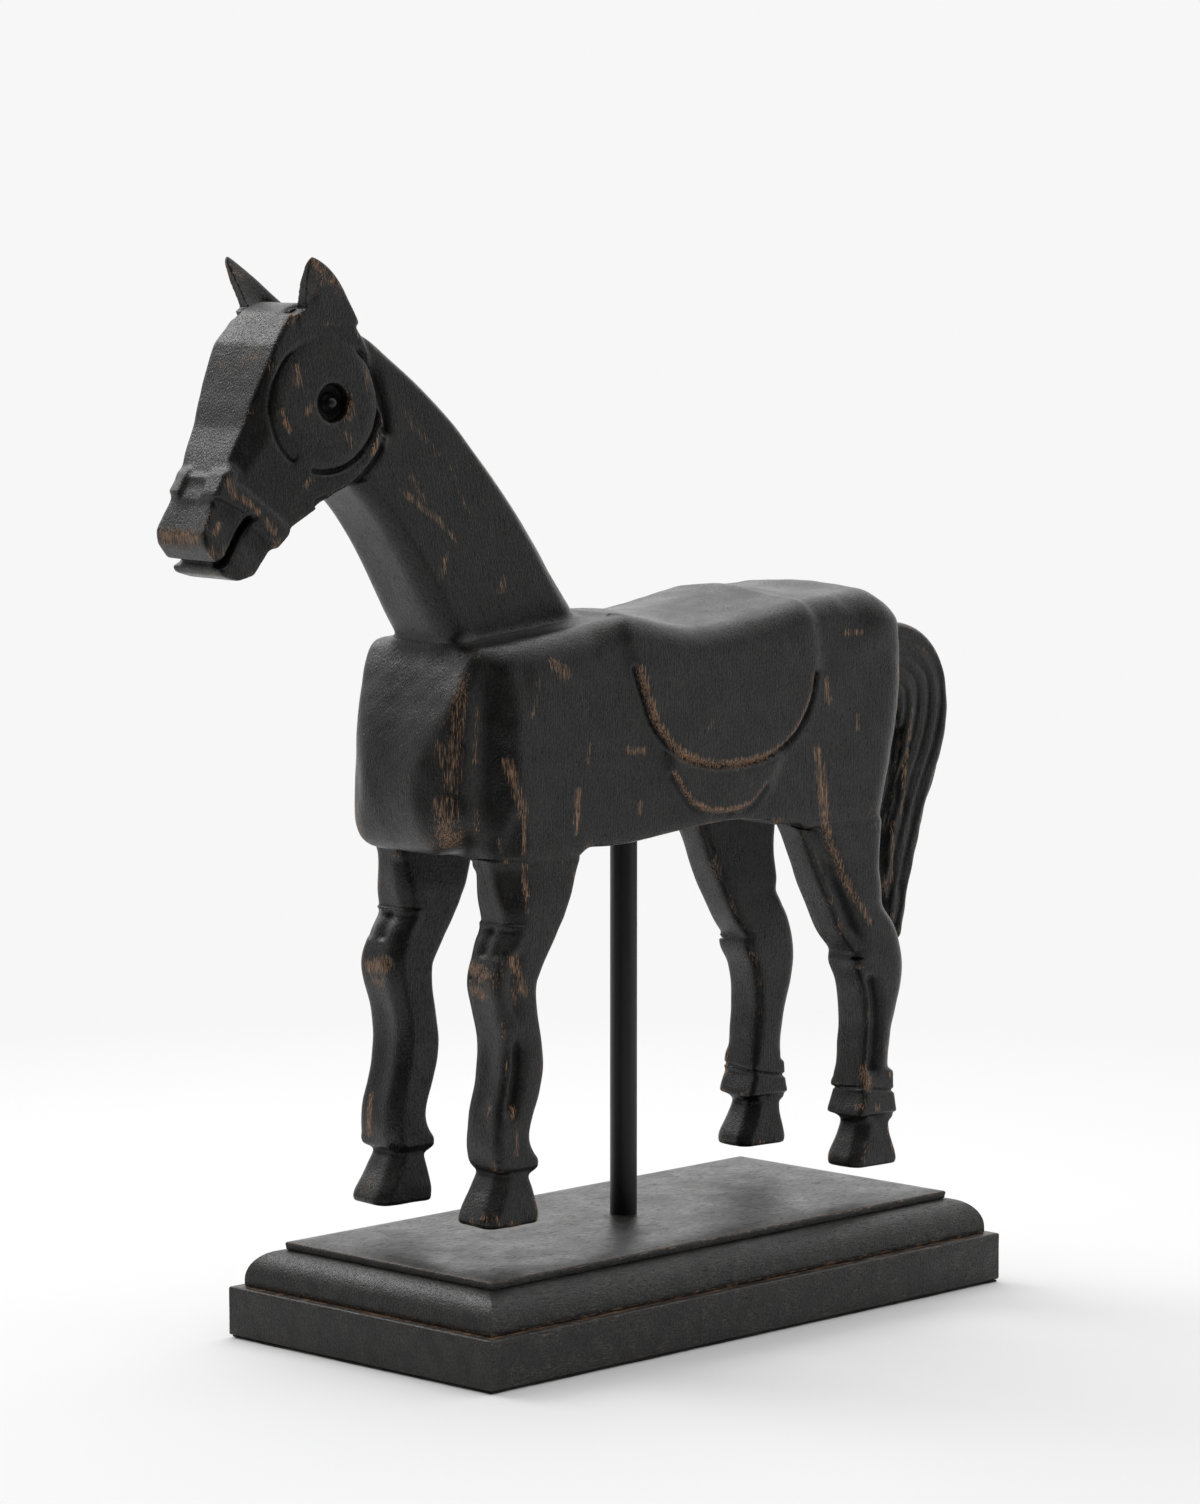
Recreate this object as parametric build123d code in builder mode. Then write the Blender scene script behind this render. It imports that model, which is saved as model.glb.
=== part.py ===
from build123d import *
import os

# Carved wooden horse on a steel rod above a moulded rectangular base.
#
# Frame: millimetres, +X towards the horse's nose, +Y towards its left side, +Z up.
# The origin is on the rod's axis, at the underside of the felt below the base.
# The horse swivels on the rod, and the base is turned a little away from it.

# --- Driving dimensions: the stand ---------------------------------------------------
base_length = 271.0
base_width = 135.0
base_turn = 4.7             # degrees that the base is turned from the horse's heading
felt_thickness = 1.0
felt_margin = 1.0           # the felt is cut this much smaller than the board, all round
plinth_top = 18.9
moulding_inset = 4.0        # step from the plinth's edge to the moulded board
moulding_top = 32.3
ovolo_radius = 11.0
slab_inset = 14.3           # the raised panel on the moulded board
slab_edge_top = 35.0
slab_crown = 1.2            # height of the panel's sloping border
crown_slope = 80.0          # degrees from upright
rod_diameter = 10.0
rod_seat = 24.0             # height of the bottom of the rod's socket in the base
rod_top = 236.0             # the horse's bore ends here, and rests on the rod's end
rod_chamfer = 0.6
edge_rounding = 0.6         # on the plinth's top edges
stud_diameter = 6.0         # threaded end of the rod, drawn without its thread
stud_bottom = 4.0
pocket_diameter = 24.0      # counterbore under the base for the washer and nut
pocket_top = 10.6
washer_diameter = 20.0
washer_thickness = 1.6
nut_width = 10.0            # across the flats
nut_height = 5.0
screw_diameter = 3.5
screw_head_diameter = 7.5
screw_top = 27.0
screw_inset_x = 34.0        # from the board's ends
screw_inset_y = 27.0        # from the board's sides

# --- Driving dimensions: the horse ---------------------------------------------------
body_half_width = 38.5      # the legs' outer faces lie in the same planes
body_rounding = 9.0
front_leg_top = 178.0
hind_leg_top = 180.0
hoof_bottom = 48.8
front_leg_thickness = 18.8
hind_leg_thickness = 16.8
running_clearance = 0.05    # radial, between the rod and its bore
shoulder_front = 91.0
through = 60.0              # half the width of a cut that runs right through the horse
forward = 200.0             # a cut this long runs from the rod's axis past the brow
cloth_thickness = 1.7       # the carved saddle cloth stands this proud of the sides
neck_half_width = 19.0      # at its foot; it draws in towards the head
neck_top_half_width = 15.5
neck_rounding = 10.0
head_half_width = 18.0
nose_half_width = 13.0
eye_x, eye_z = 148.5, 340.5
cheek_x, cheek_z = 151.5, 340.0
cheek_radius = 23.3
cheek_groove = 1.1
eye_radius = 6.6
pupil_radius = 3.0
eye_depth = 2.6
mouth_gap = 1.6
mouth_depth = 2.5
band_relief = 1.5           # the noseband stands this proud of the head
block_inner = 6.0           # the noseband's corner blocks start this far from the middle
ear_seat = 367.0            # height of the flat seats under the ears
ear_seat_depth = 20.0       # enough to cut the seat clear of the brow
ear_inner, ear_outer = 11.5, 24.0   # at the ear's foot, and at its tip
ear_front = 163.5
ear_rears = {1: 136.0, -1: 141.0}   # 1 is the left ear; the right ear is carved slimmer
ear_seat_margin = 2.0       # the seats run past the ears by this much, front and rear
tail_half_width = 8.5
tail_seat = -106.0          # plane where the tail's root meets the rump
tail_root_bottom, tail_root_top = 223.0, 247.0
dowel_diameter = 6.0
dowel_depth = 16.0          # how far each dowel enters the wood on either side
neck_dowel_diameter = 8.0
neck_dowel_bottom, neck_dowel_top = 232.0, 278.0
peg_diameter = 3.0
peg_depth = 7.0

# The head's long axis runs down the face. The width is given along it, from a point
# between the eyes: x is the distance towards the nose, y is the half width.
face_plane = Plane(origin=(150, 0, 345), x_dir=(0.67, 0, -0.742), z_dir=(0.742, 0, 0.67))
half_plan = [(-60, head_half_width), (18, head_half_width), (50, nose_half_width + 1),
             (60, nose_half_width), (69, nose_half_width + 1.4), (90, nose_half_width + 1.4)]

# The neck stands on a plane that rises gently from the chest to the withers.
seat_front = (104.0, 253.7)
seat_rear = (31.0, 261.4)


def side_plane(y):
    """The side view's plane at a distance y to the left, facing -Y."""
    return Plane(origin=(0, y, 0), x_dir=(1, 0, 0), z_dir=(0, -1, 0))


def base_plane(height):
    """A level plane turned with the base."""
    return Plane.XY.rotated((0, 0, base_turn)).offset(height)


def seat_height(x):
    """Height of the neck's sloping seat at x."""
    rise = (seat_rear[1] - seat_front[1]) / (seat_rear[0] - seat_front[0])
    return seat_front[1] + rise * (x - seat_front[0])


os.makedirs("parts", exist_ok=True)

# --- Stand ---------------------------------------------------------------------------
screw_spots = GridLocations(base_length - 2 * screw_inset_x, base_width - 2 * screw_inset_y, 2, 2)
screw_places = list(screw_spots.local_locations)

with BuildPart() as felt_pad:
    with BuildSketch(base_plane(0)):
        Rectangle(base_length - 2 * felt_margin, base_width - 2 * felt_margin)
    extrude(amount=felt_thickness)

with BuildPart() as base_plinth:
    with BuildSketch(base_plane(felt_thickness)):
        Rectangle(base_length, base_width)
    extrude(amount=plinth_top - felt_thickness)
    fillet(base_plinth.edges().group_by(Axis.Z)[-1], radius=edge_rounding)
    with BuildSketch(base_plane(felt_thickness)):
        Circle(pocket_diameter / 2)
    extrude(amount=pocket_top - felt_thickness, mode=Mode.SUBTRACT)
    with BuildSketch(base_plane(felt_thickness)):
        Circle(stud_diameter / 2)
    extrude(amount=plinth_top - felt_thickness, mode=Mode.SUBTRACT)

with BuildPart() as base_moulding:
    with BuildSketch(base_plane(plinth_top)):
        Rectangle(base_length - 2 * moulding_inset, base_width - 2 * moulding_inset)
    extrude(amount=moulding_top - plinth_top)
    fillet(base_moulding.edges().group_by(Axis.Z)[-1], radius=ovolo_radius)
    with BuildSketch(base_plane(moulding_top)):
        Rectangle(base_length - 2 * slab_inset, base_width - 2 * slab_inset)
    extrude(amount=slab_edge_top - moulding_top)
    with BuildSketch(base_plane(slab_edge_top)):
        Rectangle(base_length - 2 * slab_inset, base_width - 2 * slab_inset)
    extrude(amount=slab_crown, taper=crown_slope)
    with BuildSketch(base_plane(plinth_top)):
        Circle(stud_diameter / 2)
    extrude(amount=rod_seat - plinth_top, mode=Mode.SUBTRACT)
    with BuildSketch(base_plane(rod_seat)):
        Circle(rod_diameter / 2)
    extrude(amount=slab_edge_top + slab_crown - rod_seat, mode=Mode.SUBTRACT)

# Four countersunk wood screws hold the two boards together from below, under the felt.
with BuildPart() as base_screws:
    head_height = (screw_head_diameter - screw_diameter) / 2
    with BuildSketch(base_plane(felt_thickness)):
        with Locations(*screw_places):
            Circle(screw_head_diameter / 2)
    extrude(amount=head_height, taper=45)
    with BuildSketch(base_plane(felt_thickness)):
        with Locations(*screw_places):
            Circle(screw_diameter / 2)
    extrude(amount=screw_top - felt_thickness)

with BuildPart() as plinth_drilled:
    add(base_plinth.part)
    add(base_screws.part, mode=Mode.SUBTRACT)

with BuildPart() as moulding_drilled:
    add(base_moulding.part)
    add(base_screws.part, mode=Mode.SUBTRACT)

with BuildPart() as support_rod:
    with BuildSketch(Plane.XY.offset(rod_seat)):
        Circle(rod_diameter / 2)
    extrude(amount=rod_top - rod_seat)
    with BuildSketch(Plane.XY.offset(stud_bottom)):
        Circle(stud_diameter / 2)
    extrude(amount=rod_seat - stud_bottom)
    chamfer(support_rod.edges().group_by(Axis.Z)[0], length=rod_chamfer)

with BuildPart() as rod_washer:
    with BuildSketch(base_plane(pocket_top - washer_thickness)):
        Circle(washer_diameter / 2)
        Circle(stud_diameter / 2, mode=Mode.SUBTRACT)
    extrude(amount=washer_thickness)

with BuildPart() as rod_nut:
    with BuildSketch(base_plane(pocket_top - washer_thickness - nut_height)):
        RegularPolygon(radius=nut_width / 2, side_count=6, major_radius=False)
        Circle(stud_diameter / 2, mode=Mode.SUBTRACT)
    extrude(amount=nut_height)

# --- Torso ---------------------------------------------------------------------------
def barrel(grow):
    """The body from the shoulders to the rump, grown upwards and sideways by grow."""
    with BuildPart() as block:
        with BuildSketch(side_plane(body_half_width + grow)):
            with BuildLine():
                Polyline((shoulder_front, 250 + grow), (shoulder_front, front_leg_top),
                         (52, front_leg_top), (49, hind_leg_top))
                Spline((49, hind_leg_top), (5, 182.3), (-24, 184), (-46, hind_leg_top))
                Line((-46, hind_leg_top), (-98.5, hind_leg_top))
                Spline((-98.5, hind_leg_top), (-106.5, 210), (-109, 230), (-105.5, 253),
                       (-93, 262.8 + grow), (-66, 263.5 + grow), (-30, 257 + grow), (0, 255 + grow),
                       (31, 261.4 + grow), (62, 260 + grow), (shoulder_front, 250 + grow))
            make_face()
        extrude(amount=2 * (body_half_width + grow))
        curves = block.faces().filter_by(Axis.Y).edges().filter_by(GeomType.BSPLINE)
        fillet(curves.group_by(SortBy.LENGTH)[-1], radius=body_rounding)
    return block.part


# The chest bulges forward between the shoulders. Its plan has bevelled corners, and its
# side view leans back above and is rounded below.
with BuildPart() as chest:
    with BuildSketch(Plane.XY.offset(front_leg_top)):
        with BuildLine():
            Polyline((60, 0), (60, 30), (92, 32), (100, 31), (107.5, 26), (112, 13), (112, 0))
            mirror(about=Plane.XZ)
        make_face()
    extrude(amount=seat_rear[1] - front_leg_top)
    with BuildSketch(side_plane(through)):
        with BuildLine():
            Line((40, front_leg_top), (100, front_leg_top))
            Spline((100, front_leg_top), (108, 185), (111.5, 199), (109.5, 216), (102.5, 238),
                   (94.5, seat_height(94.5)))
            Polyline((94.5, seat_height(94.5)), (40, seat_height(40)), (40, front_leg_top))
        make_face()
    extrude(amount=2 * through, mode=Mode.INTERSECT)

# The saddle cloth: a long flap over the back and a small one below it on each side.
with BuildPart() as saddle_cloth:
    add(barrel(cloth_thickness))
    with BuildSketch(side_plane(through)):
        with BuildLine():
            Spline((40, 275), (34, 255), (27, 239), (20, 222), (9, 211), (-4, 206), (-20, 204.5),
                   (-36, 206.5), (-48, 212), (-57, 223), (-61, 237), (-60, 250), (-56, 275))
            Line((-56, 275), (40, 275))
        make_face()
        with BuildLine():
            Spline((13, 215), (11, 203), (2, 191.5), (-9, 187.5), (-17, 187), (-28, 189),
                   (-37, 196), (-44, 215))
            Line((-44, 215), (13, 215))
        make_face()
    extrude(amount=2 * through, mode=Mode.INTERSECT)

neck_dowel_spots = [(52, 0), (80, 0)]
front_leg_x, hind_leg_x = (68, 82), (-72, -88)
dowel_y = body_half_width - hind_leg_thickness / 2
leg_joints = ((front_leg_top, front_leg_x), (hind_leg_top, hind_leg_x))

with BuildPart() as neck_dowels:
    with BuildSketch(Plane.XY.offset(neck_dowel_bottom)):
        with Locations(*neck_dowel_spots):
            Circle(neck_dowel_diameter / 2)
    extrude(amount=neck_dowel_top - neck_dowel_bottom)

with BuildPart() as leg_dowels:
    for leg_top, dowel_x in leg_joints:
        with BuildSketch(Plane.XY.offset(leg_top - dowel_depth)):
            with Locations(*[(x, y) for x in dowel_x for y in (dowel_y, -dowel_y)]):
                Circle(dowel_diameter / 2)
        extrude(amount=2 * dowel_depth)

tail_root_height = tail_root_top - tail_root_bottom
tail_root_middle = (0, tail_root_bottom + tail_root_height / 2)
with BuildPart() as tail_dowel:
    with BuildSketch(Plane.YZ.offset(tail_seat - dowel_depth)):
        with Locations(tail_root_middle):
            Circle(dowel_diameter / 2)
    extrude(amount=2 * dowel_depth)

with BuildPart() as torso:
    add(barrel(0))
    add(saddle_cloth.part)
    add(chest.part)
    with BuildSketch(side_plane(through)):
        Polygon((31, 300), (31, seat_height(31)), (120, seat_height(120)), (120, 300), align=None)
    extrude(amount=2 * through, mode=Mode.SUBTRACT)
    with BuildSketch(Plane.XY.offset(front_leg_top)):
        Circle(rod_diameter / 2 + running_clearance)
    extrude(amount=rod_top - front_leg_top, mode=Mode.SUBTRACT)
    with BuildSketch(Plane.YZ.offset(tail_seat)):
        with Locations(tail_root_middle):
            Rectangle(2 * tail_half_width, tail_root_height)
    extrude(amount=-dowel_depth, mode=Mode.SUBTRACT)
    add(neck_dowels.part, mode=Mode.SUBTRACT)
    add(leg_dowels.part, mode=Mode.SUBTRACT)
    add(tail_dowel.part, mode=Mode.SUBTRACT)

# --- Neck and head -------------------------------------------------------------------
with BuildPart() as neck:
    with BuildSketch(side_plane(neck_half_width)):
        with BuildLine():
            Line((33.5, seat_height(33.5)), (97.5, seat_height(97.5)))
            Spline((97.5, seat_height(97.5)), (101.6, 262), (108.4, 274), (117.5, 289), (129, 303.5),
                   (150, 318))
            Polyline((150, 318), (150, 362), (136, 364.5), (124, 359))
            Spline((124, 359), (112.5, 350.5), (96.5, 337.5), (82.2, 323), (69, 308), (56.8, 292.5),
                   (45.3, 276), (33.5, seat_height(33.5)))
        make_face()
    extrude(amount=2 * neck_half_width)
    flanks = neck.faces().filter_by(Axis.Y).edges().filter_by(GeomType.BSPLINE)
    fillet(flanks, radius=neck_rounding)
    # In the front view it draws in from its foot to the level of the eyes.
    taper = [(neck_half_width, 250), (neck_top_half_width, 345), (neck_top_half_width, 370)]
    with BuildSketch(Plane.YZ):
        Polygon(*taper, *[(-y, z) for y, z in reversed(taper)], align=None)
    extrude(amount=forward, mode=Mode.INTERSECT)

with BuildPart() as head:
    with BuildSketch(side_plane(head_half_width)):
        with BuildLine():
            Spline((124, 327), (127, 340), (131, 353), (135.5, 363), (143, 370.5), (151, 374.2),
                   (159, 375), (167, 371.5))
            Polyline((167, 371.5), (174, 361), (184.3, 332.5), (197, 309), (202, 297.5), (201.5, 293),
                     (196, 286), (194, 282.5), (187, 280.5), (180, 282), (175, 287), (172, 291.5),
                     (166.5, 296.5), (154, 304), (142, 309.5), (132, 317), (124, 327))
        make_face()
    extrude(amount=2 * head_half_width)
    # The sides draw in towards the nose, along the face.
    with BuildSketch(face_plane):
        Polygon(*half_plan, *[(u, -v) for u, v in reversed(half_plan)], align=None)
    extrude(amount=2 * through, both=True, mode=Mode.INTERSECT)

# A groove rings the round cheek, but for a gap at the front below.
with BuildPart() as cheek_grooves:
    for y in (head_half_width + cheek_groove, cheek_groove - head_half_width):
        with BuildSketch(side_plane(y)):
            with Locations((cheek_x, cheek_z)):
                Circle(cheek_radius + cheek_groove / 2)
                Circle(cheek_radius - cheek_groove / 2, mode=Mode.SUBTRACT)
                Polygon((0, 0), (17, -24), (8, -29), align=None, mode=Mode.SUBTRACT)
        extrude(amount=2 * cheek_groove)

# Each eye is a sunk ring round a small boss.
with BuildPart() as eye_rings:
    for y in (head_half_width + eye_depth, eye_depth - head_half_width):
        with BuildSketch(side_plane(y)):
            with Locations((eye_x, eye_z)):
                Circle(eye_radius)
                Circle(pupil_radius, mode=Mode.SUBTRACT)
        extrude(amount=2 * eye_depth)

# The mouth is a slot sawn into both sides and across the front.
with BuildPart() as mouth:
    with BuildSketch(side_plane(head_half_width)):
        with BuildLine():
            Polyline((183, 301), (188.5, 293.5), (193, 287.3), (197, 285.8), (206, 287.5))
        trace(line_width=mouth_gap)
    extrude(amount=2 * head_half_width)
    with BuildSketch(side_plane(nose_half_width - mouth_depth)):
        with Locations((198 - mouth_depth, 290)):
            Rectangle(60, 40, align=(Align.MAX, Align.CENTER))
    extrude(amount=2 * (nose_half_width - mouth_depth), mode=Mode.SUBTRACT)

# The noseband runs round the jaw and ends in a square block at each front corner.
band_half_width = nose_half_width + 1 + band_relief
with BuildPart() as noseband:
    with BuildSketch(side_plane(band_half_width)):
        Polygon((194, 317), (186, 313), (176, 306), (168.5, 300), (165, 297), (165.8, 295.3),
                (171.2, 290.6), (173, 291.4), (176, 296), (183, 302), (187, 305), (195.5, 309), align=None)
    extrude(amount=2 * band_half_width)
    for y in (band_half_width, -block_inner):
        with BuildSketch(side_plane(y)):
            Polygon((188.5, 319), (193.6, 318.5), (198.4, 309.8), (191, 307.2), align=None)
        extrude(amount=band_half_width - block_inner)

# Each ear is a leaf that leans outwards and stands on a peg.
peg_y = ear_inner + 2.3
peg_x = (ear_rears[-1] + ear_front) / 2
with BuildPart() as ear_pegs:
    with BuildSketch(Plane.XY.offset(ear_seat - peg_depth)):
        with Locations((peg_x, peg_y), (peg_x, -peg_y)):
            Circle(peg_diameter / 2)
    extrude(amount=2 * peg_depth)


def ear_solid(side, rear):
    """The ear on one side (1 is left), from its rear edge forward."""
    section = [(ear_inner, ear_seat), (ear_inner + 1, ear_seat + 6), (ear_outer - 1.5, 391), (ear_outer, 391),
               (head_half_width + 1, ear_seat + 8), (head_half_width, ear_seat)]
    with BuildPart() as ear:
        with BuildSketch(side_plane(through)):
            with BuildLine():
                Spline((rear, ear_seat), (rear + 6, 375.5), (rear + 14.5, 384), (162, 390))
                Spline((162, 390), (164.8, 381), (ear_front, ear_seat))
                Line((ear_front, ear_seat), (rear, ear_seat))
            make_face()
        extrude(amount=2 * through)
        with BuildSketch(Plane.YZ):
            Polygon(*[(side * y, z) for y, z in section], align=None)
        extrude(amount=forward, mode=Mode.INTERSECT)
        add(ear_pegs.part, mode=Mode.SUBTRACT)
    return ear.part


with BuildPart() as head_and_neck:
    add(neck.part)
    add(head.part)
    add(noseband.part)
    add(cheek_grooves.part, mode=Mode.SUBTRACT)
    add(eye_rings.part, mode=Mode.SUBTRACT)
    add(mouth.part, mode=Mode.SUBTRACT)
    # Each ear stands in a flat seat cut into the corner of the brow.
    for side, rear in ear_rears.items():
        with BuildSketch(side_plane(through if side > 0 else -ear_inner)):
            with Locations((rear - ear_seat_margin, ear_seat)):
                Rectangle(ear_front - rear + 2 * ear_seat_margin, ear_seat_depth, align=(Align.MIN, Align.MIN))
        extrude(amount=through - ear_inner, mode=Mode.SUBTRACT)
    add(ear_pegs.part, mode=Mode.SUBTRACT)
    add(neck_dowels.part, mode=Mode.SUBTRACT)

# --- Legs ----------------------------------------------------------------------------
def leg_solid(thickness, front, knee, hoof, rear):
    """A left leg sawn from a board of that thickness, drilled for its two dowels."""
    with BuildPart() as leg:
        with BuildSketch(side_plane(body_half_width)):
            with BuildLine():
                Spline(*front)
                Spline(front[-1], *knee)
                Polyline(knee[-1], *hoof, rear[0])
                Spline(*rear[:-2])
                Polyline(*rear[-3:], front[0])
            make_face()
        extrude(amount=thickness)
        add(leg_dowels.part, mode=Mode.SUBTRACT)
    return leg.part


front_leg = leg_solid(
    front_leg_thickness,
    front=[(91, front_leg_top), (89.4, 170), (86.6, 159), (85.3, 152)],
    knee=[(90.3, 143.5), (92.5, 135), (91.3, 126.5), (88.6, 116), (88.3, 102), (91.3, 88.3), (93, 76),
          (92, 69)],
    hoof=[(89.2, 67), (92, 59.5), (95.2, 53), (96.5, 49.8), (95.5, hoof_bottom), (74.6, hoof_bottom),
          (74.6, 52), (77, 59), (79.4, 65.8), (75.2, 67.7)],
    rear=[(75.3, 71), (78.6, 79), (73.7, 96), (72.6, 107), (74.8, 121.5), (75.3, 135), (62.6, 156),
          (52, front_leg_top)])
hind_leg = leg_solid(
    hind_leg_thickness,
    front=[(-53.5, hind_leg_top), (-58.7, 171), (-64.5, 159.4), (-71.3, 147.2), (-77, 137), (-83.5, 129.5)],
    knee=[(-82.6, 127), (-85.5, 120), (-87.7, 112), (-88.3, 104), (-87.6, 91.7), (-86, 80), (-85.5, 78)],
    hoof=[(-87, 76), (-85, 69.8), (-84.5, 67.4), (-87.6, 64.9), (-86.3, 60.4), (-82.6, 51.5),
          (-83, hoof_bottom), (-103, hoof_bottom), (-103.2, 50.5), (-100, 60), (-99.5, 64.3),
          (-102.2, 66)],
    rear=[(-101.2, 76), (-101, 88), (-103.5, 103), (-107.6, 117), (-107.8, 125.5), (-97.6, 146),
          (-96.5, 160), (-98.5, hind_leg_top)])

# --- Tail ----------------------------------------------------------------------------
with BuildPart() as tail:
    with BuildSketch(side_plane(tail_half_width)):
        with BuildLine():
            Line((tail_seat, tail_root_bottom), (tail_seat, tail_root_top))
            Spline((tail_seat, tail_root_top), (-122, 249), (-140, 247.2), (-153, 237.5), (-158.5, 224),
                   (-158, 204), (-149.2, 177), (-140.2, 150), (-135, 125))
            Spline((-135, 125), (-127, 142), (-126, 165), (-132, 190), (-134, 207), (-129, 219),
                   (-118, 223), (tail_seat, tail_root_bottom))
        make_face()
    extrude(amount=2 * tail_half_width)
    add(torso.part, mode=Mode.SUBTRACT)
    add(tail_dowel.part, mode=Mode.SUBTRACT)

pieces = {
    "felt_pad": felt_pad.part,
    "base_plinth": plinth_drilled.part,
    "base_moulding": moulding_drilled.part,
    "base_screws": base_screws.part,
    "support_rod": support_rod.part,
    "rod_washer": rod_washer.part,
    "rod_nut": rod_nut.part,
    "torso": torso.part,
    "head_and_neck": head_and_neck.part,
    "ear_left": ear_solid(1, ear_rears[1]),
    "ear_right": ear_solid(-1, ear_rears[-1]),
    "front_leg_left": front_leg,
    "front_leg_right": mirror(front_leg, about=Plane.XZ),
    "hind_leg_left": hind_leg,
    "hind_leg_right": mirror(hind_leg, about=Plane.XZ),
    "tail": tail.part,
    "neck_dowels": neck_dowels.part,
    "leg_dowels": leg_dowels.part,
    "tail_dowel": tail_dowel.part,
    "ear_pegs": ear_pegs.part,
}
for name, piece in pieces.items():
    piece.label = name
    export_step(piece, f"parts/{name}.step")
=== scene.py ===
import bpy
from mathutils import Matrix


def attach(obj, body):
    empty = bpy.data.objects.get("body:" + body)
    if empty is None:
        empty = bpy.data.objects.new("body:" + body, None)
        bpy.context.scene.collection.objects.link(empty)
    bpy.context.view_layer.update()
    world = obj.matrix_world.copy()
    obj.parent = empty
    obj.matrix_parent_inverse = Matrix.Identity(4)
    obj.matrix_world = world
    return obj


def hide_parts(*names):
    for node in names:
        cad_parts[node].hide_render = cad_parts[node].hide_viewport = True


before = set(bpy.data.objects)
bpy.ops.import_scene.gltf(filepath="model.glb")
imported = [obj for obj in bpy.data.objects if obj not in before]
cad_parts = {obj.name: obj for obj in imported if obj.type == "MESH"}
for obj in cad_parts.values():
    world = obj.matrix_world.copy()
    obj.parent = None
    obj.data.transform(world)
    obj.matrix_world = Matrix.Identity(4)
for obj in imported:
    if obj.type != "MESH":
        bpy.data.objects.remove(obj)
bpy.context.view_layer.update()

# A carved and painted wooden horse on a rod above a moulded base. The CAD model is the frame.
# The wood is carved here as distance fields: the CAD pieces give the stock, a blur sands it,
# and each function below cuts one kind of detail. Lengths are in millimetres, +X is the nose,
# +Y is the horse's left side and +Z is up, until a mesh is made, which is in metres.

import copy
from math import cos, pi, radians, sin

import bpy
import numpy as np
import openvdb as vdb
from mathutils import Vector

scene = bpy.context.scene

# --- Sizes that the looks share ---
coarse = 1.0
body_half_width = 38.5
front_leg_top = 178.0
hind_leg_top = 180.0
front_thickness = 18.8
hind_thickness = 16.8
hoof_top = 67.0             # the ledge over each hoof
knee_top = 155.4            # the ledge over each front knee
hock = 127.6                # the notch in each hind leg
shoulder_front = 91.0       # the flat front of the shoulders, beside the chest
lap = 2.0                   # each piece runs this far into its neighbour, so no gap shows
set_back = 0.12             # the carving lies this far inside its stock, plus or minus the waviness
ear_seat, ear_inner = 367.0, 11.5
ear_seat_rear, ear_seat_front = 134.0, 166.5
cheek_x, cheek_z, cheek_radius = 151.5, 340.0, 23.3
eye_x, eye_z = 148.5, 340.5
seat_front, seat_rear = (104.0, 253.7), (31.0, 261.4)
rod_bore = 5.4
base_turn = radians(4.7)
base_length, base_width = 271.0, 135.0
felt_top, plinth_top, panel_top = 1.05, 18.9, 36.2


# --- Distance fields ---
def smooth(value, low, high):
    """0 below low, 1 above high, and an S-curve between."""
    t = np.clip((value - low) / (high - low), 0, 1)
    return t * t * (3 - 2 * t)


def bell(value, centre, width):
    """1 at centre, falling smoothly to about 0 at two widths from it."""
    return np.exp(-((value - centre) / width) ** 2)


def window(value, low, high, soft):
    """1 between low and high, with soft ends."""
    return smooth(value, low - soft, low) * (1 - smooth(value, high, high + soft))


def blur(field, sigmas):
    """A Gaussian blur, with a sigma in cells for each axis."""
    for axis, sigma in enumerate(sigmas):
        reach = max(1, int(np.ceil(2.5 * sigma)))
        weights = np.exp(-0.5 * (np.arange(-reach, reach + 1) / sigma) ** 2)
        weights /= weights.sum()
        ends = [(reach, reach) if a == axis else (0, 0) for a in range(field.ndim)]
        padded = np.pad(field, ends, mode="edge")
        total = np.zeros_like(field)
        for shift, weight in enumerate(weights):
            part = [slice(None)] * field.ndim
            part[axis] = slice(shift, shift + field.shape[axis])
            total += np.float32(weight) * padded[tuple(part)]
        field = total
    return field


def rows_of(items, name, kind=np.float32):
    """A three-part property of a mesh's items, as an array with a row for each."""
    values = np.zeros(len(items) * 3, kind)
    items.foreach_get(name, values)
    return values.reshape(-1, 3)


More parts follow.
